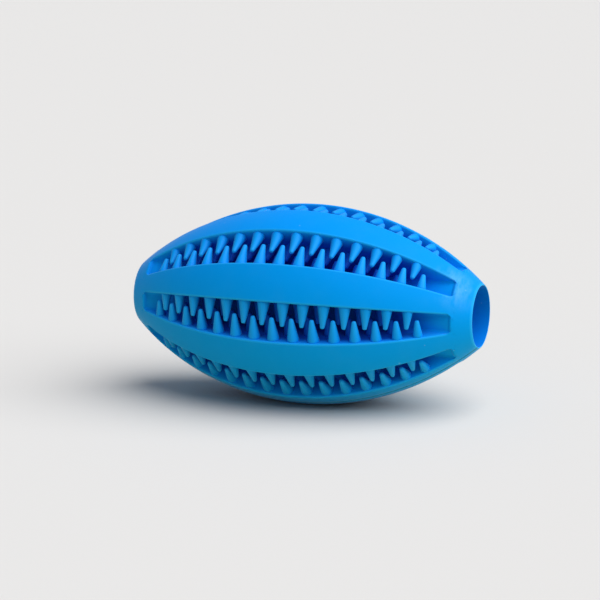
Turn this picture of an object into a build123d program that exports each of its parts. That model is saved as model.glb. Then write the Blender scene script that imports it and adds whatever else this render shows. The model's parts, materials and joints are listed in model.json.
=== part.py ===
from build123d import *
from math import asin, cos, floor, radians, sin, sqrt, tan
import os

# Rubber chew toy for cleaning a dog's teeth, in the form of a blunt-ended rugby ball.
# A straight tube runs through the middle and is open at both ends. Wedge-shaped ribs stand
# round the tube and swell to the belly, and the grooves between them are deep. Rows of
# conical teeth face each other across every groove and mesh like the halves of a zip: an outer
# pair below the ribs' edges, and a staggered inner pair deeper in the groove.
# Millimetres. X runs along the toy, Z is up, and the origin lies on the ground below the
# belly. The toy lies on the two ribs that flank its lowest groove.

# Sizes of the body
body_length = 110.0  # from rim to rim
belly_diameter = 61.6  # over the ribs, half way along
bore_diameter = 18.6  # straight bore, open at both ends
lip_width = 0.35  # flat rim around the bore at each end
collar_length = 5.3  # plain band between a rim and the ends of the grooves
groove_end_depth = 0.54  # depth of a groove where it stops at a collar

# Sizes of the ribs
rib_count = 8
groove_angle = 22.5  # width of a groove round the axis, in degrees
outline_runs = 10  # straight runs that follow the curve of a rib's back

# Sizes of the teeth
tooth_pitch = 6.25  # from tooth to tooth along the rib's outer curve
tooth_tip_diameter = 1.25  # across the flats
tooth_draft = 10.5  # slope of a tooth's flank, in degrees
outer_sides = 6  # sides of a tooth in an outer row
inner_sides = 5
outer_reach = 1.3  # how far a tip of an outer row passes the middle of its groove
inner_reach = 1.0  # the same for an inner row
tooth_cover = 0.6  # bare wall between an outer tooth and the rib's edge
inner_drop = 5.1  # how much deeper the inner rows stand than the outer ones
floor_gap = 1.0  # least bare wall between a tooth and the groove floor
row_end_gap = 8.0  # least bare groove past the end teeth, if a long row were centred
row_offset = -1.2  # the rows sit this far off centre, along the curve

# The outline is one arc from rim to rim, and distances along it are counted from the belly
half_length = body_length / 2
belly_radius = belly_diameter / 2
bore_radius = bore_diameter / 2
rim_radius = bore_radius + lip_width
crown = belly_radius - rim_radius
curve_radius = (crown**2 + half_length**2) / (2 * crown)


def outline_point(distance):
    """Station along the toy and radius of the outline, at a distance along it."""
    station = curve_radius * sin(distance / curve_radius)
    return station, belly_radius - curve_radius + sqrt(curve_radius**2 - station**2)


# The grooves stop short of the rims, and their floor is a cylinder just below the outline there
groove_end = half_length - collar_length
groove_run = 2 * curve_radius * asin(groove_end / curve_radius)
collar_radius = outline_point(groove_run / 2)[1]
core_radius = collar_radius - groove_end_depth

# Turns are angles round the axis, counted from straight down and rising on the near side
rib_step = 360 / rib_count
rib_angle = rib_step - groove_angle
first_turn = rib_step / 2
half_groove = radians(groove_angle / 2)

# The toy rests on the two rib edges beside its lowest groove
axis_height = belly_radius * cos(half_groove)
centre = Vector(0, 0, axis_height)
along = Vector(1, 0, 0)
turn_axis = Axis(centre, -along)

# As many teeth as the groove has room for, with one fewer in the row that meshes with them
tip_radius = tooth_tip_diameter / 2
flank_slope = tan(radians(tooth_draft))
long_count = 1 + floor((groove_run - 2 * row_end_gap) / tooth_pitch)
short_count = long_count - 1


def outward(turn):
    """Unit vector that points away from the axis."""
    return Vector(0, -sin(radians(turn)), -cos(radians(turn)))


def onward(turn):
    """Unit vector that points round the axis, the way in which turns rise."""
    return Vector(0, -cos(radians(turn)), sin(radians(turn)))


def radial_plane(turn):
    """Plane through the axis, with its X along the toy and its Y pointing outwards."""
    return Plane(origin=centre, x_dir=along, z_dir=-onward(turn))


def tooth_size(edge_radius, reach):
    """Radius at which a tooth stands on its wall, and the tooth's length and root radius.

    The root lies under an edge of that radius, and the tip passes the middle of the groove by the reach.
    """
    room = edge_radius - tooth_cover - tip_radius
    seat = (room - flank_slope * reach / cos(half_groove)) / (1 + flank_slope * tan(half_groove))
    length = (reach + seat * sin(half_groove)) / cos(half_groove)
    return seat, length, tip_radius + flank_slope * length


def make_collar(side):
    """The plain ring at one end, which runs out to a thin lip around the open bore."""
    with BuildPart() as collar:
        with BuildSketch(radial_plane(0)):
            with BuildLine():
                Polyline(
                    (side * groove_end, bore_radius),
                    (side * groove_end, collar_radius),
                    (side * half_length, rim_radius),
                    (side * half_length, bore_radius),
                    close=True,
                )
            make_face()
        revolve(axis=turn_axis)
    return collar


def make_tooth_row(turn, side, count, drop, reach, sides):
    """A row of teeth on one wall of a rib, each square to the wall. Side is 1 on the rib's onward wall.

    A row with a drop stands that much deeper. Teeth that have no room above the groove floor are left out.
    """
    first = row_offset - (count - 1) / 2 * tooth_pitch
    with BuildPart() as row:
        for place in range(count):
            station, edge_radius = outline_point(first + place * tooth_pitch)
            seat, length, root_radius = tooth_size(edge_radius - drop, reach)
            if seat - root_radius < core_radius + floor_gap:
                continue
            root_centre = centre + along * station + outward(turn) * seat
            with BuildSketch(Plane(origin=root_centre, x_dir=along, z_dir=onward(turn) * side)):
                RegularPolygon(root_radius, sides, major_radius=False)
            extrude(amount=length, taper=tooth_draft)
    return row


def write_piece(piece, label):
    """Names a finished piece and writes it to its own file."""
    piece.part.label = label
    export_step(piece.part, f"parts/{label}.step")


def write_ring(first, label, first_rib_number):
    """Writes a ring of equal pieces, one for each rib: the first, and the others turned about the axis."""
    for place in range(rib_count):
        rib_number = (first_rib_number - 1 + place) % rib_count + 1
        with BuildPart() as piece:
            add(first.part.rotate(turn_axis, place * rib_step))
        write_piece(piece, f"{label}_{rib_number}")


# Core tube: the bore inside, the groove floors outside
with BuildPart() as core_tube:
    with BuildSketch(Plane(origin=centre - along * groove_end, z_dir=along)):
        Circle(core_radius)
        Circle(bore_radius, mode=Mode.SUBTRACT)
    extrude(amount=2 * groove_end)

# First rib: a wedge with flat radial walls and a curved back that stands on the core tube
run_length = groove_run / outline_runs
back = [outline_point(run * run_length - groove_run / 2) for run in range(outline_runs + 1)]
with BuildPart() as first_rib:
    with BuildSketch(radial_plane(first_turn - rib_angle / 2)):
        with BuildLine():
            Polyline(*back)
            Polyline(back[-1], (groove_end, core_radius), (-groove_end, core_radius), back[0])
        make_face()
    revolve(axis=turn_axis, revolution_arc=rib_angle)

# Each rib has a long row of teeth on its onward wall and a short row on its other wall, and deeper
# on both walls an inner row, whose teeth stand between those of the outer one. The first and the
# last rib flank the lowest groove, and these rows are on the walls that face away from it.
onward_wall = first_turn + rib_angle / 2
first_long = make_tooth_row(onward_wall, 1, long_count, 0, outer_reach, outer_sides)
last_short = make_tooth_row(-onward_wall, -1, short_count, 0, outer_reach, outer_sides)
first_inner_long = make_tooth_row(onward_wall, 1, long_count - 1, inner_drop, inner_reach, inner_sides)
last_inner_short = make_tooth_row(-onward_wall, -1, short_count - 1, inner_drop, inner_reach, inner_sides)

os.makedirs("parts", exist_ok=True)
write_piece(core_tube, "core_tube")
write_piece(make_collar(1), "front_collar")
write_piece(make_collar(-1), "rear_collar")
write_ring(first_rib, "rib", 1)
write_ring(first_long, "long_teeth", 1)
write_ring(last_short, "short_teeth", rib_count)
write_ring(first_inner_long, "inner_long_teeth", 1)
write_ring(last_inner_short, "inner_short_teeth", rib_count)
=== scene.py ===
import json
from functools import partial
from math import asin, cos, hypot, pi, radians, sin, sqrt, tan

import bpy
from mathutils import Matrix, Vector


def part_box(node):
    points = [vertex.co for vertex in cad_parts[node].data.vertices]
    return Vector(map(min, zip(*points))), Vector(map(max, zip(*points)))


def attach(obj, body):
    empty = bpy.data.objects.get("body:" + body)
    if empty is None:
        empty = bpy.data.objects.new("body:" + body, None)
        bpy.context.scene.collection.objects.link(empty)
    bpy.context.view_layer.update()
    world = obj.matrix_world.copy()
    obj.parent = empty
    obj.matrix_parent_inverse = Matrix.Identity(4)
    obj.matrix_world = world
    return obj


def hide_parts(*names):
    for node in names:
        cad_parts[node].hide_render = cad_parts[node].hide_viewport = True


# Blue rubber chew toy, lying on two of its ribs on a pale floor. Metres, in the frame of the CAD model.
# The ribbed body is one continuous moulding, and each row of cleaning teeth is a piece of its own.

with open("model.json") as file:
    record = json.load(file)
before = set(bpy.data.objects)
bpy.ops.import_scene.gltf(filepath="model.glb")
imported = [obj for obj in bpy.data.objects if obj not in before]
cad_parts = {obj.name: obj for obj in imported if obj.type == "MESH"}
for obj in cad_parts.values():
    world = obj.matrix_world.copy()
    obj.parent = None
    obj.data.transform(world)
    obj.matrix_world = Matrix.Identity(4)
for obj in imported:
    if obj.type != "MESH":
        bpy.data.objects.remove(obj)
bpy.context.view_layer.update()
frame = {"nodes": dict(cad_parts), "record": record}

MM = 0.001

# Sizes of the body that the frame holds
bore_mount = next(mount for mount in frame["record"]["mounts"] if mount["name"] == "through_bore")
core_low, core_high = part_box("core_tube")
BORE_RADIUS = bore_mount["dims"]["r_mm"] * MM
HALF_LENGTH = bore_mount["dims"]["length_mm"] * MM / 2
AXIS_HEIGHT = bore_mount["pos_m"][2]
CORE_RADIUS = (core_high.y - core_low.y) / 2
GROOVE_END = core_high.x
RIB_COUNT = sum(name.startswith("rib_") for name in frame["nodes"])

# Sizes of the body that follow the CAD model
GROOVE_ANGLE = radians(22.5)
RIB_STEP = 2 * pi / RIB_COUNT
HALF_GROOVE = GROOVE_ANGLE / 2
HALF_RIB = (RIB_STEP - GROOVE_ANGLE) / 2
LIP_WIDTH = 0.35 * MM
RIM_RADIUS = BORE_RADIUS + LIP_WIDTH
BELLY_RADIUS = AXIS_HEIGHT / cos(HALF_GROOVE)
CROWN = BELLY_RADIUS - RIM_RADIUS
CURVE_RADIUS = (CROWN**2 + HALF_LENGTH**2) / (2 * CROWN)

# Soft corners of the moulding, and its slightly wavy skin
EDGE_ROUND = 0.55 * MM
FOOT_ROUND = 0.8 * MM
ROUND_SHARE = 0.95  # the most of a groove's depth that its rounded edge and foot take up
LIP_ROUND = 0.15 * MM
WAVINESS = 0.06 * MM
WAVE_SCALE = 150.0

# Ends of the grooves: a little past the core tube, with round corners and a steep ramp, given as shares
# of the rounding at which it starts and of the groove's depth that it climbs
GROOVE_OVERRUN = 0.3 * MM
GROOVE_STOP = GROOVE_END + GROOVE_OVERRUN
GROOVE_END_ROUND = 1.5 * MM
END_RAMP_START = 0.1
END_RAMP_RISE = 0.95

# Painted shade in the grooves: full below these depths, but only a share of it at the ends, which are
# open to more light, and a share of its own on the ramps at the rear
WALL_DARK_DEPTH = 3.0 * MM
TOOTH_DARK_DEPTH = 7.0 * MM
SHADED_TO = 32.0 * MM
OPEN_FROM = 46.0 * MM
END_SHADE = 0.12
REAR_RAMP_SHADE = 0.28

# Painted shade in the bore: at the mouths, and this far inside
MOUTH_SHADE = 0.48
BORE_SHADE = 0.85
DARK_BORE = 14.0 * MM

# Notch along two opposite ribs where the mould's halves meet, with painted shade in it and wear along it
SEAM_TURN = RIB_STEP / 2
SEAM_WIDTH = 0.5 * MM
SEAM_DEPTH = 0.22 * MM
SEAM_END = HALF_LENGTH - 0.5 * MM
SEAM_FADE = 2.0 * MM
SEAM_INNER_RADIUS = 1.03 * BORE_RADIUS
NOTCH_SHADE_INNER_RADIUS = BORE_RADIUS + 0.1 * MM
NOTCH_SHADE_CORE = 0.2 * SEAM_WIDTH
NOTCH_SHADE_AMOUNT = 0.85
SEAM_WEAR_WIDTH = 4 * SEAM_WIDTH
SEAM_WEAR_AMOUNT = 0.3

# Sizes of the teeth that follow the CAD model
TOOTH_PITCH = 6.25 * MM
TOOTH_TIP_RADIUS = 0.625 * MM
TOOTH_DRAFT = radians(10.5)
TOOTH_COVER = 0.6 * MM
OUTER_REACH = 1.3 * MM
INNER_REACH = 1.0 * MM
INNER_DROP = 5.1 * MM
ROW_OFFSET = -1.2 * MM

# Each kind of row, with its count of teeth, its drop, its reach, and 1 where it points onward round the axis
TOOTH_ROWS = {
    "long_teeth": (15, 0.0, OUTER_REACH, 1),
    "short_teeth": (14, 0.0, OUTER_REACH, -1),
    "inner_long_teeth": (12, INNER_DROP, INNER_REACH, 1),
    "inner_short_teeth": (11, INNER_DROP, INNER_REACH, -1),
}

# Soft form of a tooth: a foot that starts inside the wall, as heights above the wall and widths beyond the
# cone's root, and a rounded tip, as heights below the end and widths beyond the cone's tip
TOOTH_SIDES = 12
TOOTH_LEAN = radians(1.2)
TOOTH_FOOT = ((-0.30 * MM, 0.06 * MM), (0.40 * MM, -0.04 * MM))
TOOTH_TIP = ((0.42 * MM, 0.07 * MM), (0.12 * MM, -0.09 * MM), (0.0, -0.34 * MM))

# Colours of the rubber, and of the shade and highlight painted on it
BLUE = (0.0, 0.30, 0.90, 1.0)
# Darker blue of the painted shade in the grooves and the bore
PAINTED_SHADE_BLUE = (0.0, 0.098, 0.62, 1.0)
# Paler blue of worn rubber, also used for the painted highlight on the lips
WORN_AND_HIGHLIGHT_BLUE = (0.02, 0.42, 0.95, 1.0)
# Dark blue of the painted shade in the parting notch
NOTCH_SHADE_BLUE = (0.0, 0.055, 0.20, 1.0)
DUST_BLUE = (0.22, 0.55, 0.90, 1.0)
CHALK_BLUE = (0.24, 0.60, 1.0, 1.0)

# Mottle, and wear on edges and tips, with a painted highlight along the lips
CLOUD_SCALE = 55.0
FLECK_SCALE = 900.0
FLECK_SHARE = 0.35
HUE_SWING = 0.06
MOTTLE_AMOUNT = 0.08
WEAR_AMOUNT = 0.35
# The lips are paler than worn edges: beyond the wear, the extra share is a painted highlight along the lip
LIP_HIGHLIGHT_AND_WEAR = 2.0  # times the wear of the other edges

# Dust: a faint bloom in patches, and single specks in a few cells of a pattern
BLOOM_SCALE = 140.0
BLOOM_RANGE = (0.42, 0.78)
BLOOM_AMOUNT = 0.012
SPECK_SCALE = 420.0
CLEAN_SHARE = 0.93
SMALLEST_SPECK = 0.04
SPECK_SPREAD = 0.09
BODY_SPECKS = 0.3
TOOTH_SPECKS = 0.2

# Chalk on the front collar
CHALK_TURN = radians(139)
CHALK_STATION = 49.5 * MM
CHALK_REACH = 9.5 * MM
CHALK_SCALE = 190.0
CHALK_SQUEEZE = (3.0, 1.0, 1.0)
CHALK_RANGE = (0.30, 0.72)
CHALK_AMOUNT = 0.4
CHALK_ROUGHNESS = 0.2

# Skin: grain, shallow unevenness, and fine turning rings on the collars and in the bore
GRAIN_SCALE = 2600.0
UNEVEN_SCALE = 260.0
GRAIN_SHARE = 0.25
RING_PITCH = 0.42 * MM
RING_SHARE = 0.12
SKIN_RELIEF = 0.05 * MM
SKIN_STRENGTH = 0.25

# Gloss of the rubber, and the dusty sheen that it has at the outline
BODY_ROUGHNESS = 0.5
BODY_GLOSS = 0.03
BODY_SHEEN = 0.18
TOOTH_ROUGHNESS = 0.4
TOOTH_GLOSS = 0.08
TOOTH_SHEEN = 0.06
SHEEN_ROUGHNESS = 0.3

# Floor
FLOOR_REACH = 20.0
FLOOR_SEEN = (0.735, 0.72, 0.69, 1.0)
FLOOR_BOUNCE = (0.78, 0.78, 0.43, 1.0)
FLOOR_ROUGHNESS = 0.9
FLOOR_GLOSS = 0.1

# Lights
KEY_TOWARDS = (1.0, -0.1, 1.4)
KEY_SPREAD = radians(75)
KEY_STRENGTH = 3.5
SKY_COLOR = (0.92, 0.97, 1.14, 1.0)
SKY_STRENGTH = 0.24

# Camera of the photograph
CAMERA_AZIMUTH = radians(20.4)
CAMERA_ELEVATION = radians(11.63)
CAMERA_DISTANCE = 770.9 * MM
CAMERA_LENS = 150.3
CAMERA_SHIFT = (-0.0159, 0.0059)
CAMERA_NEAR = 50.0 * MM


def outline_radius(station):
    """Radius of the outline at a station along the toy."""
    return BELLY_RADIUS - CURVE_RADIUS + sqrt(CURVE_RADIUS**2 - station**2)


def ease(share):
    """Rises smoothly from 0 to 1 as the share does."""
    share = min(1.0, max(0.0, share))
    return share * share * (3 - 2 * share)


# Node trees


def feed(tree, socket, value):
    """Gives a node's input a value, or links another node's output to it."""
    if isinstance(value, bpy.types.NodeSocket):
        tree.links.new(value, socket)
    else:
        socket.default_value = value


def add_node(tree, kind, inputs=None, **settings):
    """Adds a node, with a value or another node's output for each input that is named."""
    node = tree.nodes.new(kind)
    for name, value in settings.items():
        setattr(node, name, value)
    for key, value in (inputs or {}).items():
        feed(tree, node.inputs[key], value)
    return node


def calc(tree, operation, *values):
    """The result of a Math node."""
    return add_node(tree, "ShaderNodeMath", dict(enumerate(values)), operation=operation).outputs[0]


def vector(tree, x=0.0, y=0.0, z=0.0):
    """A vector made of three values."""
    return add_node(tree, "ShaderNodeCombineXYZ", {"X": x, "Y": y, "Z": z}).outputs[0]


def parts_of(tree, value):
    """The X, Y and Z of a vector."""
    return add_node(tree, "ShaderNodeSeparateXYZ", {0: value}).outputs


def join(tree, operation, first, second):
    """The sum or the difference of two vectors."""
    return add_node(tree, "ShaderNodeVectorMath", {0: first, 1: second}, operation=operation).outputs[0]


def scaled(tree, value, scale):
    """A vector times a value."""
    return add_node(tree, "ShaderNodeVectorMath", {0: value, "Scale": scale}, operation="SCALE").outputs[0]


def smooth_step(tree, value, low, high):
    """A mask that rises smoothly from 0 at the low value to 1 at the high one."""
    node = add_node(
        tree,
        "ShaderNodeMapRange",
        {"Value": value, "From Min": low, "From Max": high},
        interpolation_type="SMOOTHSTEP",
    )
    return node.outputs[0]


def noise(tree, place, scale, detail, roughness=0.5):
    """A cloudy pattern that swings about one half."""
    inputs = {"Vector": place, "Scale": scale, "Detail": detail, "Roughness": roughness}
    return add_node(tree, "ShaderNodeTexNoise", inputs).outputs[0]


def axis_distance(tree, across, up):
    """Distance from the toy's axis, from the two parts of a place that lie across it."""
    return calc(tree, "SQRT", calc(tree, "MULTIPLY_ADD", across, across, calc(tree, "MULTIPLY", up, up)))


def seam_distance(tree, across, up, turn_cos, turn_sin):
    """Distance from the plane through the axis in which the halves of the mould meet."""
    slant = calc(tree, "MULTIPLY", up, turn_sin)
    return calc(tree, "ABSOLUTE", calc(tree, "SUBTRACT", calc(tree, "MULTIPLY", across, turn_cos), slant))


def new_tree(name, kind, inputs, outputs):
    """A node tree with named inputs and outputs, and the nodes at its two ends."""
    tree = bpy.data.node_groups.new(name, kind)
    for label, socket_type in inputs.items():
        tree.interface.new_socket(name=label, in_out="INPUT", socket_type="NodeSocket" + socket_type)
    for label, socket_type in outputs.items():
        tree.interface.new_socket(name=label, in_out="OUTPUT", socket_type="NodeSocket" + socket_type)
    start = tree.nodes.new("NodeGroupInput")
    end = tree.nodes.new("NodeGroupOutput")
    return tree, start.outputs, end


def position(tree):
    """Place of each point of a shape."""
    return add_node(tree, "GeometryNodeInputPosition").outputs[0]


def keep_value(tree, shape, name, value, kind="FLOAT"):
    """The shape, with a value kept at each point under a name."""
    node = add_node(
        tree,
        "GeometryNodeStoreNamedAttribute",
        {"Geometry": shape, "Name": name, "Value": value},
        data_type=kind,
        domain="POINT",
    )
    return node.outputs[0]


def kept_value(tree, name, kind="FLOAT"):
    """A value that was kept at each point under a name."""
    return add_node(tree, "GeometryNodeInputNamedAttribute", {"Name": name}, data_type=kind).outputs[0]


def finished_shape(tree, shape, rubber):
    """The shape as one smooth mesh with its material."""
    smooth = add_node(tree, "GeometryNodeSetShadeSmooth", {0: shape})
    solid = add_node(tree, "GeometryNodeRealizeInstances", {"Geometry": smooth.outputs[0]})
    dressed = add_node(tree, "GeometryNodeSetMaterial", {"Geometry": solid.outputs[0], "Material": rubber})
    return dressed.outputs[0]


def grow(piece, tree, values):
    """Runs a Geometry Nodes tree on a piece and keeps the result as its plain mesh."""
    modifier = piece.modifiers.new(tree.name, "NODES")
    modifier.node_group = tree
    for item in tree.interface.items_tree:
        if item.in_out == "INPUT" and item.name in values:
            modifier[item.identifier] = values[item.name]
    graph = bpy.context.evaluated_depsgraph_get()
    result = bpy.data.meshes.new_from_object(
        piece.evaluated_get(graph), preserve_all_data_layers=True, depsgraph=graph
    )
    seed_mesh = piece.data
    piece.modifiers.remove(modifier)
    piece.data = result
    result.name = piece.name
    bpy.data.meshes.remove(seed_mesh)


def new_piece(name, points, faces, attributes):
    """An object with a mesh at the origin, and with one value of each attribute for every point."""
    mesh = bpy.data.meshes.new(name)
    mesh.from_pydata(points, [], faces)
    for label, values in attributes.items():
        layer = mesh.attributes.new(label, "FLOAT", "POINT")
        layer.data.foreach_set("value", values)
    piece = bpy.data.objects.new(name, mesh)
    bpy.context.collection.objects.link(piece)
    return piece


# Rubber


def mottle_group():
    """Slow and fine changes of shade in rubber that is coloured right through."""
    tree, given, end = new_tree(
        "rubber_mottle",
        "ShaderNodeTree",
        {"Coordinate": "Vector", "Color": "Color", "Amount": "Float"},
        {"Color": "Color"},
    )
    clouds = noise(tree, given["Coordinate"], CLOUD_SCALE, detail=3.0)
    flecks = noise(tree, given["Coordinate"], FLECK_SCALE, detail=2.0)
    both = calc(tree, "MULTIPLY_ADD", flecks, FLECK_SHARE, clouds)
    middle = 0.5 * (1.0 + FLECK_SHARE)
    swing = calc(tree, "MULTIPLY", calc(tree, "SUBTRACT", both, middle), given["Amount"])
    shade = add_node(
        tree,
        "ShaderNodeHueSaturation",
        {
            "Hue": calc(tree, "MULTIPLY_ADD", swing, HUE_SWING, 0.5),
            "Value": calc(tree, "ADD", swing, 1.0),
            "Color": given["Color"],
        },
    )
    tree.links.new(shade.outputs[0], end.inputs["Color"])
    return tree


def dust_group():
    """Where a pale bloom and single specks of dust lie on the rubber."""
    tree, given, end = new_tree(
        "rubber_dust",
        "ShaderNodeTree",
        {"Coordinate": "Vector", "Bloom": "Float", "Specks": "Float"},
        {"Mask": "Float"},
    )
    patches = noise(tree, given["Coordinate"], BLOOM_SCALE, detail=5.0, roughness=0.62)
    bloom = calc(tree, "MULTIPLY", smooth_step(tree, patches, *BLOOM_RANGE), given["Bloom"])
    cells = add_node(tree, "ShaderNodeTexVoronoi", {"Vector": given["Coordinate"], "Scale": SPECK_SCALE})
    lot = add_node(tree, "ShaderNodeSeparateColor", {"Color": cells.outputs["Color"]})
    chosen = calc(tree, "GREATER_THAN", lot.outputs[0], CLEAN_SHARE)
    size = calc(tree, "MULTIPLY_ADD", lot.outputs[1], SPECK_SPREAD, SMALLEST_SPECK)
    speck = calc(tree, "MULTIPLY", calc(tree, "LESS_THAN", cells.outputs["Distance"], size), chosen)
    mask = calc(tree, "MAXIMUM", bloom, calc(tree, "MULTIPLY", speck, given["Specks"]))
    tree.links.new(mask, end.inputs["Mask"])
    return tree


def grain_group():
    """Height of the skin of the rubber: a fine grain over shallow unevenness."""
    tree, given, end = new_tree(
        "rubber_grain",
        "ShaderNodeTree",
        {"Coordinate": "Vector", "Grain": "Float", "Unevenness": "Float"},
        {"Height": "Float"},
    )
    grain = noise(tree, given["Coordinate"], GRAIN_SCALE, detail=2.0)
    uneven = noise(tree, given["Coordinate"], UNEVEN_SCALE, detail=3.0)
    fine = calc(tree, "MULTIPLY", grain, given["Grain"])
    height = calc(tree, "MULTIPLY_ADD", uneven, given["Unevenness"], fine)
    tree.links.new(height, end.inputs["Height"])
    return tree


MOTTLE = mottle_group()
DUST = dust_group()
GRAIN = grain_group()

# Sockets of a Mix node that are in use when it mixes colours
MIX_SHARE, MIX_FIRST, MIX_SECOND, MIX_RESULT = 0, 6, 7, 2


def use_group(tree, group, inputs):
    """Places a shader node group in a material."""
    return add_node(tree, "ShaderNodeGroup", inputs, node_tree=group).outputs[0]


def mix_color(tree, share, first, second):
    """The first colour, with a share of the second one."""
    inputs = {MIX_SHARE: share, MIX_FIRST: first, MIX_SECOND: second}
    return add_node(tree, "ShaderNodeMix", inputs, data_type="RGBA").outputs[MIX_RESULT]


def point_mask(tree, name):
    """A mask that the points of a mesh carry under a name."""
    return add_node(tree, "ShaderNodeAttribute", attribute_name=name).outputs["Fac"]


def start_rubber(name, specks):
    """Moulded rubber: mottled, with painted shade deep in grooves and bore, paler where worn, a little
    dusty.

    Returns the material, the coordinates, the colour and the height of the skin.
    """
    material = bpy.data.materials.new(name)
    material.use_nodes = True
    tree = material.node_tree
    place = add_node(tree, "ShaderNodeTexCoord").outputs["Object"]
    color = use_group(tree, MOTTLE, {"Coordinate": place, "Color": BLUE, "Amount": MOTTLE_AMOUNT})
    # Paler where worn; on the lips the extra paleness is a painted highlight
    color = mix_color(tree, calc(tree, "MULTIPLY", point_mask(tree, "wear"), WEAR_AMOUNT), color, WORN_AND_HIGHLIGHT_BLUE)
    dust = use_group(tree, DUST, {"Coordinate": place, "Bloom": BLOOM_AMOUNT, "Specks": specks})
    color = mix_color(tree, dust, color, DUST_BLUE)
    # Painted shade: a darker blue deep in the grooves and the bore
    color = mix_color(tree, point_mask(tree, "hollow"), color, PAINTED_SHADE_BLUE)
    height = use_group(tree, GRAIN, {"Coordinate": place, "Grain": GRAIN_SHARE, "Unevenness": 1.0})
    return material, place, color, height


def finish_rubber(material, color, height, roughness, gloss, sheen):
    """Joins colour and skin to the material's shader, with a broad gloss and a dusty sheen."""
    tree = material.node_tree
    shader = tree.nodes["Principled BSDF"]
    feed(tree, shader.inputs["Base Color"], color)
    feed(tree, shader.inputs["Roughness"], roughness)
    shader.inputs["Specular IOR Level"].default_value = gloss
    shader.inputs["Sheen Weight"].default_value = sheen
    shader.inputs["Sheen Roughness"].default_value = SHEEN_ROUGHNESS
    relief = {"Strength": SKIN_STRENGTH, "Distance": SKIN_RELIEF, "Height": height}
    bump = add_node(tree, "ShaderNodeBump", relief)
    tree.links.new(bump.outputs[0], shader.inputs["Normal"])


def seam_masks(tree, place):
    """Painted shade in the notch where the mould's halves meet, and the paler rubber along both sides of it.
    """
    spot = parts_of(tree, place)
    up = calc(tree, "SUBTRACT", spot["Z"], AXIS_HEIGHT)
    off_line = seam_distance(tree, spot["Y"], up, cos(SEAM_TURN), sin(SEAM_TURN))
    clear = calc(tree, "GREATER_THAN", axis_distance(tree, spot["Y"], up), NOTCH_SHADE_INNER_RADIUS)
    notch_shade = smooth_step(tree, off_line, SEAM_WIDTH, NOTCH_SHADE_CORE)
    beside = smooth_step(tree, off_line, SEAM_WEAR_WIDTH, SEAM_WIDTH)
    return calc(tree, "MULTIPLY", notch_shade, clear), calc(tree, "MULTIPLY", beside, clear)


def chalk_mask(tree, place):
    """A chalky bloom on the front collar and the rib ends beside it, in soft patches and fine streaks."""
    radius = outline_radius(CHALK_STATION)
    spot = (CHALK_STATION, -radius * sin(CHALK_TURN), AXIS_HEIGHT - radius * cos(CHALK_TURN))
    away = add_node(tree, "ShaderNodeVectorMath", {0: place, 1: spot}, operation="DISTANCE")
    near = smooth_step(tree, away.outputs["Value"], CHALK_REACH, 0.0)
    squeezed = add_node(tree, "ShaderNodeMapping", {"Vector": place, "Scale": CHALK_SQUEEZE}).outputs[0]
    streaks = noise(tree, squeezed, CHALK_SCALE, detail=5.0, roughness=0.65)
    patches = smooth_step(tree, streaks, *CHALK_RANGE)
    return calc(tree, "MULTIPLY", calc(tree, "MULTIPLY", near, patches), point_mask(tree, "outside"))


def turning_rings(tree, place):
    """Height of the fine rings that the lathe left in the mould, on the collars and in the bore."""
    station = parts_of(tree, place)["X"]
    rings = calc(tree, "SINE", calc(tree, "MULTIPLY", station, 2 * pi / RING_PITCH))
    near_end = smooth_step(tree, calc(tree, "ABSOLUTE", station), GROOVE_STOP, HALF_LENGTH)
    return calc(tree, "MULTIPLY", rings, near_end)


def body_rubber():
    """Rubber of the body, with chalk, the parting line of the mould and turning rings."""
    material, place, color, height = start_rubber("body_rubber", BODY_SPECKS)
    tree = material.node_tree
    chalk = chalk_mask(tree, place)
    color = mix_color(tree, calc(tree, "MULTIPLY", chalk, CHALK_AMOUNT), color, CHALK_BLUE)
    notch_shade, beside = seam_masks(tree, place)
    color = mix_color(tree, calc(tree, "MULTIPLY", beside, SEAM_WEAR_AMOUNT), color, WORN_AND_HIGHLIGHT_BLUE)
    # Painted shade in the notch
    color = mix_color(tree, calc(tree, "MULTIPLY", notch_shade, NOTCH_SHADE_AMOUNT), color, NOTCH_SHADE_BLUE)
    height = calc(tree, "MULTIPLY_ADD", turning_rings(tree, place), RING_SHARE, height)
    roughness = calc(tree, "MULTIPLY_ADD", chalk, CHALK_ROUGHNESS, BODY_ROUGHNESS)
    finish_rubber(material, color, height, roughness, BODY_GLOSS, BODY_SHEEN)
    return material


def tooth_rubber():
    """Rubber of the teeth, a little smoother than the body."""
    material, _, color, height = start_rubber("tooth_rubber", TOOTH_SPECKS)
    finish_rubber(material, color, height, TOOTH_ROUGHNESS, TOOTH_GLOSS, TOOTH_SHEEN)
    return material


# Ribbed body

# Points of half a cross-section, as shares of the way along its notch, back, wall and floor
NOTCH_SHARES = (0.0, 0.5, 1.0)
BACK_SHARES = (0.2, 0.4, 0.6, 0.8, 0.96)
WALL_SHARES = (0.03, 0.25, 0.5, 0.75, 0.97)
FLOOR_SHARES = (0.04, 0.5, 1.0)
EDGE_STEPS = 5
FOOT_STEPS = 4
EDGE_START = len(NOTCH_SHARES) + len(BACK_SHARES)
ROUND_POINTS = EDGE_STEPS + 1 + FOOT_STEPS + 1
HALF_SECTION_POINTS = EDGE_START + ROUND_POINTS + len(WALL_SHARES) + len(FLOOR_SHARES)

# Rings along the body: evenly along the grooves, by shares of the rounding at their ends, and on the rest
GROOVE_STEPS = 72
END_ZONE_SHARES = (0.15, 0.3, 0.45, 0.6, 0.72, 0.82, 0.9, 0.96, 0.99)
COLLAR_STEPS = 7
FIRST_COLLAR_STEP = 0.4
BORE_STEPS = 30
WELD_REACH = 0.001 * MM


def polar(radius, angle):
    """A point of a cross-section, from its radius and its angle from the middle of the rib."""
    return radius * cos(angle), radius * sin(angle)


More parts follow.
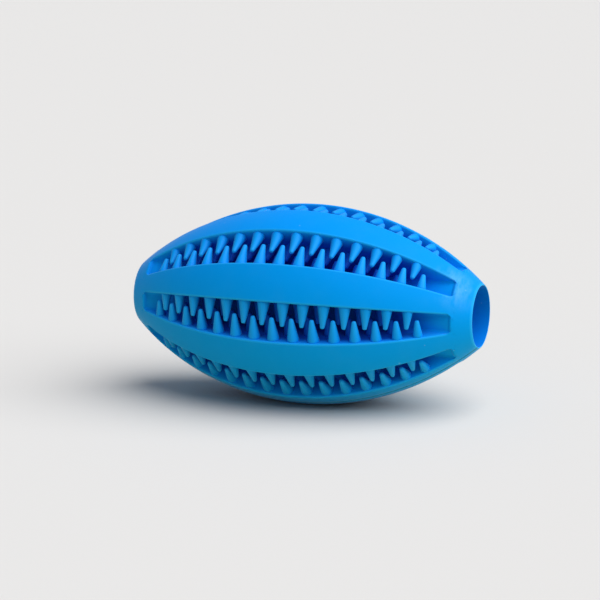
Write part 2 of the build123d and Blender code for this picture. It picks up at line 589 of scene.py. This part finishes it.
def arc(centre, radius, first, last, steps):
    """Points along an arc of a cross-section, both ends included."""
    angles = [first + (last - first) * step / steps for step in range(steps + 1)]
    return [(centre[0] + radius * cos(angle), centre[1] + radius * sin(angle)) for angle in angles]


def groove_section(station):
    """Half a rib and half a groove in cross-section: back, rounded edge, wall, rounded foot, floor."""
    outer = outline_radius(station)
    into_end = max(0.0, abs(station) - GROOVE_STOP + GROOVE_END_ROUND) / GROOVE_END_ROUND
    corner = GROOVE_END_ROUND * (1 - sqrt(1 - into_end**2))
    wall = HALF_RIB + corner / outer
    rise = END_RAMP_RISE * ease((into_end - END_RAMP_START) / (1.0 - END_RAMP_START))
    floor = CORE_RADIUS + (outer - CORE_RADIUS) * rise
    room = min(1.0, ROUND_SHARE * (outer - floor) / (EDGE_ROUND + FOOT_ROUND))
    edge_round = EDGE_ROUND * room
    foot_round = FOOT_ROUND * room
    edge_turn = wall - asin(edge_round / (outer - edge_round))
    foot_turn = wall + asin(foot_round / (floor + foot_round))
    wall_top = sqrt((outer - edge_round) ** 2 - edge_round**2)
    wall_foot = sqrt((floor + foot_round) ** 2 - foot_round**2)
    notch_turn = SEAM_WIDTH / outer
    back = [polar(outer, notch_turn * share) for share in NOTCH_SHARES]
    back += [polar(outer, notch_turn + (edge_turn - notch_turn) * share) for share in BACK_SHARES]
    edge = arc(polar(outer - edge_round, edge_turn), edge_round, edge_turn, wall + pi / 2, EDGE_STEPS)
    side = [polar(wall_top + (wall_foot - wall_top) * share, wall) for share in WALL_SHARES]
    foot = arc(polar(floor + foot_round, foot_turn), foot_round, wall - pi / 2, foot_turn - pi, FOOT_STEPS)
    bed = [polar(floor, foot_turn + (RIB_STEP / 2 - foot_turn) * share) for share in FLOOR_SHARES]
    return back + edge + side + foot + bed


def plain_section(radius):
    """The same count of points on a circle: those of the notch, and the others evenly spread."""
    notch = [SEAM_WIDTH * share / radius for share in NOTCH_SHARES]
    others = HALF_SECTION_POINTS - len(notch)
    step = (RIB_STEP / 2 - notch[-1]) / others
    angles = notch + [notch[-1] + step * (place + 1) for place in range(others)]
    return [polar(radius, angle) for angle in angles]


def groove_ring(station):
    """A ring of a segment across its rib and grooves: station, half section and values of its points."""
    half = groove_section(station)
    fade = min(1.0, (GROOVE_STOP - abs(station)) / (2 * GROOVE_END_ROUND))
    # Painted shade by depth, less of it towards the open ends, and a share of its own on the rear ramps
    shut = END_SHADE + (1 - END_SHADE) * ease((OPEN_FROM - abs(station)) / (OPEN_FROM - SHADED_TO))
    ramp_shade = REAR_RAMP_SHADE * ease(2.0 - (GROOVE_STOP + station) / GROOVE_END_ROUND)
    depths = [outline_radius(station) - hypot(*point) for point in half]
    inside = [ease(depth / EDGE_ROUND) for depth in depths]
    deep = [ease(depth / WALL_DARK_DEPTH) for depth in depths]
    values = {
        "wear": [fade * (0 <= step - EDGE_START <= EDGE_STEPS) for step in range(HALF_SECTION_POINTS)],
        "hollow": [max(shut * dark, ramp_shade * below) for dark, below in zip(deep, inside)],
        "outside": [1.0 - below for below in inside],
    }
    return station, half, values


def round_ring(station, radius, **values):
    """A ring of a segment with no groove in it, with the same values all round."""
    lists = {name: [value] * HALF_SECTION_POINTS for name, value in values.items()}
    return station, plain_section(radius), lists


def bore_ring(station):
    """A ring of a segment inside the bore, with painted shade that grows away from the mouths."""
    inside = ease((HALF_LENGTH - abs(station)) / DARK_BORE)
    return round_ring(station, BORE_RADIUS, hollow=MOUTH_SHADE + (BORE_SHADE - MOUTH_SHADE) * inside)


def lip_rings(side):
    """The rings round the lip at one end, from the outside to the bore: a flat rim with soft shoulders."""
    tip = HALF_LENGTH
    shoulder = tip - 0.3 * LIP_ROUND
    shoulder_inset = 0.1 * LIP_ROUND
    flat_inset = 0.7 * LIP_ROUND
    steps = (
        (tip - LIP_ROUND, outline_radius(tip - LIP_ROUND)),
        (shoulder, RIM_RADIUS - shoulder_inset),
        (tip, RIM_RADIUS - flat_inset),
        (tip, BORE_RADIUS + flat_inset),
        (shoulder, BORE_RADIUS + shoulder_inset),
    )
    # On the lips the wear is raised, to paint a highlight along them
    return [round_ring(side * station, radius, wear=LIP_HIGHLIGHT_AND_WEAR, outside=1.0) for station, radius in steps]


def groove_stations():
    """Stations of the rings across the grooves, evenly along the outline and closer at the rounded ends."""
    reach = asin((GROOVE_STOP - GROOVE_END_ROUND) / CURVE_RADIUS)
    bends = [reach * (2 * step / GROOVE_STEPS - 1) for step in range(GROOVE_STEPS + 1)]
    end_zone = [GROOVE_STOP - GROOVE_END_ROUND * (1 - into_end) for into_end in END_ZONE_SHARES]
    rear_zone = [-station for station in reversed(end_zone)]
    return rear_zone + [CURVE_RADIUS * sin(bend) for bend in bends] + end_zone


def body_rings():
    """The rings of a segment: over the outside, round one lip, back through the bore, round the other."""
    collar_run = HALF_LENGTH - 2 * LIP_ROUND - GROOVE_STOP
    collar = [
        GROOVE_STOP + collar_run * (step + FIRST_COLLAR_STEP) / COLLAR_STEPS for step in range(COLLAR_STEPS)
    ]
    bore = [(HALF_LENGTH - LIP_ROUND) * cos(pi * step / BORE_STEPS) for step in range(BORE_STEPS + 1)]
    rings = [round_ring(-station, outline_radius(station), outside=1.0) for station in reversed(collar)]
    rings += [groove_ring(station) for station in groove_stations()]
    rings += [round_ring(station, outline_radius(station), outside=1.0) for station in collar]
    rings += lip_rings(1)
    rings += [bore_ring(station) for station in bore]
    rings += reversed(lip_rings(-1))
    return rings


def both_sides(half):
    """Values for a whole section of a segment, from those of its half."""
    return half[:0:-1] + half


def body_segment():
    """One rib, pointing along Y, with half a groove on each side and its share of collars and bore."""
    rings = body_rings()
    points = []
    attributes = {"wear": [], "hollow": [], "outside": []}
    for station, half, values in rings:
        mirrored = [(station, out, -side) for out, side in half[:0:-1]]
        points += mirrored + [(station, out, side) for out, side in half]
        for name, column in attributes.items():
            column += both_sides(values.get(name, [0.0] * HALF_SECTION_POINTS))
    width = 2 * HALF_SECTION_POINTS - 1
    faces = []
    for ring in range(len(rings)):
        here = ring * width
        there = (ring + 1) % len(rings) * width
        for step in range(width - 1):
            faces.append((here + step, here + step + 1, there + step + 1, there + step))
    return new_piece("rubber_body", points, faces, attributes)


def ring_of_segments(tree, given, centre):
    """The segment repeated round the axis, with the joins welded."""
    spots = add_node(tree, "GeometryNodePoints", {"Count": given["Ribs"], "Position": centre})
    index = add_node(tree, "GeometryNodeInputIndex").outputs[0]
    step = calc(tree, "DIVIDE", 2 * pi, given["Ribs"])
    roll = calc(tree, "MULTIPLY_ADD", index, step, given["First Roll"])
    turn = add_node(tree, "FunctionNodeEulerToRotation", {"Euler": vector(tree, x=roll)})
    ring = add_node(
        tree,
        "GeometryNodeInstanceOnPoints",
        {"Points": spots.outputs[0], "Instance": given["Segment"], "Rotation": turn.outputs[0]},
    )
    loose = add_node(tree, "GeometryNodeRealizeInstances", {"Geometry": ring.outputs[0]})
    welding = {"Geometry": loose.outputs[0], "Distance": given["Weld"]}
    return add_node(tree, "GeometryNodeMergeByDistance", welding).outputs[0]


def uneven_skin(tree, given, skin):
    """The skin, sunk a little here and there along its normals."""
    ripple = noise(tree, position(tree), given["Wave Scale"], detail=1.0)
    sink = calc(tree, "MULTIPLY", calc(tree, "MULTIPLY", ripple, given["Waviness"]), -1.0)
    shift = scaled(tree, add_node(tree, "GeometryNodeInputNormal").outputs[0], sink)
    return add_node(tree, "GeometryNodeSetPosition", {"Geometry": skin, "Offset": shift}).outputs[0]


def notched_skin(tree, given, skin, centre):
    """The skin with the notch cut in, which lies in a plane through the axis and fades at the lips."""
    spot = parts_of(tree, join(tree, "SUBTRACT", position(tree), centre))
    turn_cos = calc(tree, "COSINE", given["Seam Turn"])
    turn_sin = calc(tree, "SINE", given["Seam Turn"])
    off_line = seam_distance(tree, spot["Y"], spot["Z"], turn_cos, turn_sin)
    line = smooth_step(tree, off_line, given["Seam Width"], 0.0)
    fade_start = calc(tree, "SUBTRACT", given["Seam End"], given["Seam Fade"])
    inside_end = smooth_step(tree, calc(tree, "ABSOLUTE", spot["X"]), given["Seam End"], fade_start)
    reach = axis_distance(tree, spot["Y"], spot["Z"])
    clear = calc(tree, "GREATER_THAN", reach, given["Seam Inner Radius"])
    depth = calc(tree, "MULTIPLY", calc(tree, "MULTIPLY", line, inside_end), given["Seam Depth"])
    share = calc(tree, "DIVIDE", calc(tree, "MULTIPLY", depth, clear), reach)
    cut = scaled(tree, vector(tree, y=spot["Y"], z=spot["Z"]), calc(tree, "MULTIPLY", share, -1.0))
    return add_node(tree, "GeometryNodeSetPosition", {"Geometry": skin, "Offset": cut}).outputs[0]


def ribbed_body_tree():
    """Repeats one segment round the axis, makes the skin a little uneven and cuts the notch."""
    tree, given, end = new_tree(
        "ribbed_body",
        "GeometryNodeTree",
        {
            "Segment": "Geometry",
            "Ribs": "Int",
            "First Roll": "Float",
            "Axis Height": "Float",
            "Weld": "Float",
            "Waviness": "Float",
            "Wave Scale": "Float",
            "Seam Turn": "Float",
            "Seam Width": "Float",
            "Seam Depth": "Float",
            "Seam End": "Float",
            "Seam Fade": "Float",
            "Seam Inner Radius": "Float",
            "Rubber": "Material",
        },
        {"Body": "Geometry"},
    )
    centre = vector(tree, z=given["Axis Height"])
    skin = ring_of_segments(tree, given, centre)
    skin = uneven_skin(tree, given, skin)
    skin = notched_skin(tree, given, skin, centre)
    tree.links.new(finished_shape(tree, skin, given["Rubber"]), end.inputs["Body"])
    return tree


def roll_of(turn):
    """Roll about X that brings a piece from Y to a turn, counted from straight down on the near side."""
    return -turn - pi / 2


def make_body():
    """The ribs, groove floors, collars and bore as one skin."""
    body = body_segment()
    grow(
        body,
        ribbed_body_tree(),
        {
            "Ribs": RIB_COUNT,
            "First Roll": roll_of(RIB_STEP / 2),
            "Axis Height": AXIS_HEIGHT,
            "Weld": WELD_REACH,
            "Waviness": WAVINESS,
            "Wave Scale": WAVE_SCALE,
            "Seam Turn": SEAM_TURN,
            "Seam Width": SEAM_WIDTH,
            "Seam Depth": SEAM_DEPTH,
            "Seam End": SEAM_END,
            "Seam Fade": SEAM_FADE,
            "Seam Inner Radius": SEAM_INNER_RADIUS,
            "Rubber": body_rubber(),
        },
    )
    return body


# Teeth


def longest_tooth(drop, reach):
    """Length of a tooth at the belly, in a row that stands a drop below the outer one."""
    slope = tan(TOOTH_DRAFT)
    room = BELLY_RADIUS - drop - TOOTH_COVER - TOOTH_TIP_RADIUS
    seat = (room - slope * reach / cos(HALF_GROOVE)) / (1 + slope * tan(HALF_GROOVE))
    return (reach + seat * sin(HALF_GROOVE)) / cos(HALF_GROOVE)


def tooth_pattern(name, length):
    """The longest tooth of a row, pointing along Z from its root: a foot, a conical flank, a rounded tip.

    Each point knows its ring's radius, and whether it belongs to the foot and so stays with the root.
    """
    root_radius = TOOTH_TIP_RADIUS + tan(TOOTH_DRAFT) * length
    rings = [(height, root_radius + wider, 1.0) for height, wider in TOOTH_FOOT]
    rings += [(length - below, TOOTH_TIP_RADIUS + wider, 0.0) for below, wider in TOOTH_TIP]
    points = []
    rootward = []
    ring_radius = []
    for height, radius, share in rings:
        for side in range(TOOTH_SIDES):
            angle = 2 * pi * side / TOOTH_SIDES
            points.append((radius * cos(angle), radius * sin(angle), height))
            rootward.append(share)
            ring_radius.append(radius)
    faces = [tuple(reversed(range(TOOTH_SIDES)))]
    for ring in range(len(rings) - 1):
        for side in range(TOOTH_SIDES):
            here = ring * TOOTH_SIDES + side
            beside = ring * TOOTH_SIDES + (side + 1) % TOOTH_SIDES
            faces.append((here, beside, beside + TOOTH_SIDES, here + TOOTH_SIDES))
    last = (len(rings) - 1) * TOOTH_SIDES
    faces.append(tuple(range(last, last + TOOTH_SIDES)))
    wear = [1.0 - share for share in rootward]
    return new_piece(name, points, faces, {"rootward": rootward, "ring_radius": ring_radius, "wear": wear})


def tooth_seats(tree, given):
    """Where each tooth of a row stands on its wall, and how long it is."""
    solve = partial(calc, tree)

    # Place along the outline
    index = add_node(tree, "GeometryNodeInputIndex").outputs[0]
    middle = solve("MULTIPLY", solve("SUBTRACT", given["Count"], 1.0), 0.5)
    distance = solve("MULTIPLY_ADD", solve("SUBTRACT", index, middle), given["Pitch"], given["Offset"])
    bend = solve("DIVIDE", distance, given["Curve Radius"])
    station = solve("MULTIPLY", solve("SINE", bend), given["Curve Radius"])
    fall = solve("MULTIPLY", solve("SUBTRACT", 1.0, solve("COSINE", bend)), given["Curve Radius"])
    edge = solve("SUBTRACT", solve("SUBTRACT", given["Belly Radius"], fall), given["Drop"])

    # Seat under the edge, and the length that takes the tip past the middle of the groove
    groove_cos = solve("COSINE", given["Half Groove"])
    groove_sin = solve("SINE", given["Half Groove"])
    room = solve("SUBTRACT", solve("SUBTRACT", edge, given["Cover"]), given["Tip Radius"])
    taken = solve("DIVIDE", solve("MULTIPLY", given["Slope"], given["Reach"]), groove_cos)
    spread = solve("MULTIPLY_ADD", given["Slope"], solve("DIVIDE", groove_sin, groove_cos), 1.0)
    seat = solve("DIVIDE", solve("SUBTRACT", room, taken), spread)
    length = solve("DIVIDE", solve("MULTIPLY_ADD", seat, groove_sin, given["Reach"]), groove_cos)
    return vector(tree, station, seat), length


def standing_teeth(tree, given, spot, length):
    """A full-length tooth at every seat, which keeps its seat, a lean of its own and what it is to lose."""
    row = add_node(tree, "GeometryNodePoints", {"Count": given["Count"], "Position": spot}).outputs[0]
    most = vector(tree, given["Lean"], given["Lean"])
    limits = {0: scaled(tree, most, -1.0), 1: most, "Seed": given["Seed"]}
    lean = add_node(tree, "FunctionNodeRandomValue", limits, data_type="FLOAT_VECTOR").outputs[0]
    row = keep_value(tree, row, "spot", spot, "FLOAT_VECTOR")
    row = keep_value(tree, row, "lean", lean, "FLOAT_VECTOR")
    row = keep_value(tree, row, "shortfall", calc(tree, "SUBTRACT", given["Full Length"], length))
    teeth = add_node(tree, "GeometryNodeInstanceOnPoints", {"Points": row, "Instance": given["Tooth"]})
    return add_node(tree, "GeometryNodeRealizeInstances", {"Geometry": teeth.outputs[0]}).outputs[0]


def fitted_teeth(tree, given, teeth):
    """The teeth at their own lengths: the tip comes back, the foot gets slimmer, and the tooth leans."""
    solve = partial(calc, tree)
    root = kept_value(tree, "spot", "FLOAT_VECTOR")
    rootward = kept_value(tree, "rootward")
    shortfall = kept_value(tree, "shortfall")
    tilt = parts_of(tree, kept_value(tree, "lean", "FLOAT_VECTOR"))
    local = parts_of(tree, join(tree, "SUBTRACT", position(tree), root))
    height = solve("SUBTRACT", local["Z"], solve("MULTIPLY", shortfall, solve("SUBTRACT", 1.0, rootward)))
    loss = solve("MULTIPLY", solve("MULTIPLY", shortfall, given["Slope"]), rootward)
    slim = solve("SUBTRACT", 1.0, solve("DIVIDE", loss, kept_value(tree, "ring_radius")))
    along = solve("MULTIPLY_ADD", tilt["X"], height, solve("MULTIPLY", local["X"], slim))
    outward = solve("MULTIPLY_ADD", tilt["Y"], height, solve("MULTIPLY", local["Y"], slim))
    moved = join(tree, "ADD", root, vector(tree, along, outward, height))
    return add_node(tree, "GeometryNodeSetPosition", {"Geometry": teeth, "Position": moved}).outputs[0]


def shaded_teeth(tree, given, teeth):
    """The teeth with painted shade, which goes by the depth under the outline, with less of it at the ends.
    """
    solve = partial(calc, tree)
    spot = parts_of(tree, position(tree))
    inset = solve("SUBTRACT", solve("POWER", given["Curve Radius"], 2.0), solve("POWER", spot["X"], 2.0))
    fall = solve("SUBTRACT", given["Curve Radius"], solve("SQRT", inset))
    outline = solve("SUBTRACT", given["Belly Radius"], fall)
    depth = solve("SUBTRACT", outline, axis_distance(tree, spot["Y"], spot["Z"]))
    inner = smooth_step(tree, solve("ABSOLUTE", spot["X"]), given["Open From"], given["Shaded To"])
    shut = solve("MULTIPLY_ADD", solve("SUBTRACT", 1.0, given["End Shade"]), inner, given["End Shade"])
    shade = solve("MULTIPLY", shut, smooth_step(tree, depth, 0.0, given["Dark Depth"]))
    return keep_value(tree, teeth, "hollow", shade)


# Plain values that a row of teeth is made from
TOOTH_ROW_VALUES = (
    "Pitch",
    "Offset",
    "Belly Radius",
    "Curve Radius",
    "Drop",
    "Half Groove",
    "Cover",
    "Reach",
    "Slope",
    "Tip Radius",
    "Full Length",
    "Lean",
    "Wall Roll",
    "Row Flip",
    "Dark Depth",
    "Shaded To",
    "Open From",
    "End Shade",
    "Axis Height",
)


def tooth_row_tree():
    """Sets teeth along the curve of a rib wall, shorter and slimmer towards the ends."""
    inputs = {"Tooth": "Geometry", "Count": "Int", "Seed": "Int"}
    inputs.update({label: "Float" for label in TOOTH_ROW_VALUES})
    inputs["Rubber"] = "Material"
    tree, given, end = new_tree("tooth_row", "GeometryNodeTree", inputs, {"Row": "Geometry"})
    spot, length = tooth_seats(tree, given)
    teeth = standing_teeth(tree, given, spot, length)
    teeth = fitted_teeth(tree, given, teeth)
    teeth = shaded_teeth(tree, given, teeth)

    # Round the axis to the wall, with the row turned end for end where it points onward
    roll = calc(tree, "MULTIPLY", given["Wall Roll"], calc(tree, "COSINE", given["Row Flip"]))
    placed = add_node(
        tree,
        "GeometryNodeTransform",
        {
            "Geometry": teeth,
            "Translation": vector(tree, z=given["Axis Height"]),
            "Rotation": vector(tree, roll, given["Row Flip"]),
        },
    )
    tree.links.new(finished_shape(tree, placed.outputs[0], given["Rubber"]), end.inputs["Row"])
    return tree


def make_tooth_row(tree, rubber, kind, rib, seed):
    """One row of teeth on a wall of a rib."""
    count, drop, reach, way = TOOTH_ROWS[kind]
    length = longest_tooth(drop, reach)
    row = tooth_pattern(f"{kind.replace('teeth', 'row')}_{rib}", length)
    grow(
        row,
        tree,
        {
            "Count": count,
            "Seed": seed,
            "Pitch": TOOTH_PITCH,
            "Offset": -way * ROW_OFFSET,
            "Belly Radius": BELLY_RADIUS,
            "Curve Radius": CURVE_RADIUS,
            "Drop": drop,
            "Half Groove": HALF_GROOVE,
            "Cover": TOOTH_COVER,
            "Reach": reach,
            "Slope": tan(TOOTH_DRAFT),
            "Tip Radius": TOOTH_TIP_RADIUS,
            "Full Length": length,
            "Lean": tan(TOOTH_LEAN),
            "Wall Roll": roll_of(RIB_STEP * (rib - 0.5) + way * HALF_RIB),
            "Row Flip": pi if way > 0 else 0.0,
            "Dark Depth": TOOTH_DARK_DEPTH,
            "Shaded To": SHADED_TO,
            "Open From": OPEN_FROM,
            "End Shade": END_SHADE,
            "Axis Height": AXIS_HEIGHT,
            "Rubber": rubber,
        },
    )
    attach(row, "root")
    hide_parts(f"{kind}_{rib}")


# Stage


def make_floor():
    """A plain floor that runs out of view, pale and neutral to the eye but warmer in what it throws back."""
    corners = ((-1, -1), (1, -1), (1, 1), (-1, 1))
    points = [(x * FLOOR_REACH, y * FLOOR_REACH, 0.0) for x, y in corners]
    floor = new_piece("floor", points, [(0, 1, 2, 3)], {})
    material = bpy.data.materials.new("pale_floor")
    material.use_nodes = True
    tree = material.node_tree
    shader = tree.nodes["Principled BSDF"]
    path = add_node(tree, "ShaderNodeLightPath").outputs
    seen = calc(tree, "MAXIMUM", path["Is Camera Ray"], path["Is Glossy Ray"])
    seen = calc(tree, "MAXIMUM", seen, path["Is Transmission Ray"])
    tree.links.new(mix_color(tree, seen, FLOOR_BOUNCE, FLOOR_SEEN), shader.inputs["Base Color"])
    shader.inputs["Roughness"].default_value = FLOOR_ROUGHNESS
    shader.inputs["Specular IOR Level"].default_value = FLOOR_GLOSS
    floor.data.materials.append(material)


def make_key_lamp():
    """A far, wide and soft lamp on the right and above."""
    lamp = bpy.data.lights.new("key", "SUN")
    lamp.angle = KEY_SPREAD
    lamp.energy = KEY_STRENGTH
    holder = bpy.data.objects.new("key", lamp)
    holder.rotation_euler = (-Vector(KEY_TOWARDS)).to_track_quat("-Z", "Y").to_euler()
    bpy.context.collection.objects.link(holder)


def make_sky():
    """An even pale sky."""
    world = bpy.data.worlds.new("pale_sky")
    world.use_nodes = True
    sky = world.node_tree.nodes["Background"]
    sky.inputs["Color"].default_value = SKY_COLOR
    sky.inputs["Strength"].default_value = SKY_STRENGTH
    bpy.context.scene.world = world


def make_camera():
    """The camera of the photograph, aimed at the middle of the toy."""
    data = bpy.data.cameras.new("camera")
    data.lens = CAMERA_LENS
    data.shift_x, data.shift_y = CAMERA_SHIFT
    data.clip_start = CAMERA_NEAR
    camera = bpy.data.objects.new("camera", data)
    level = cos(CAMERA_ELEVATION)
    back = Vector((sin(CAMERA_AZIMUTH) * level, -cos(CAMERA_AZIMUTH) * level, sin(CAMERA_ELEVATION)))
    camera.location = Vector((0.0, 0.0, AXIS_HEIGHT)) + back * CAMERA_DISTANCE
    camera.rotation_euler = (-back).to_track_quat("-Z", "Y").to_euler()
    bpy.context.collection.objects.link(camera)
    bpy.context.scene.camera = camera


body = make_body()
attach(body, "root")
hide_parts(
    "core_tube", "front_collar", "rear_collar", *[f"rib_{n}" for n in range(1, RIB_COUNT + 1)]
)

row_tree = tooth_row_tree()
row_rubber = tooth_rubber()
for number, kind in enumerate(TOOTH_ROWS):
    for rib in range(1, RIB_COUNT + 1):
        make_tooth_row(row_tree, row_rubber, kind, rib, seed=RIB_COUNT * number + rib)

make_floor()
make_key_lamp()
make_sky()
make_camera()
bpy.context.scene.view_settings.view_transform = "Standard"
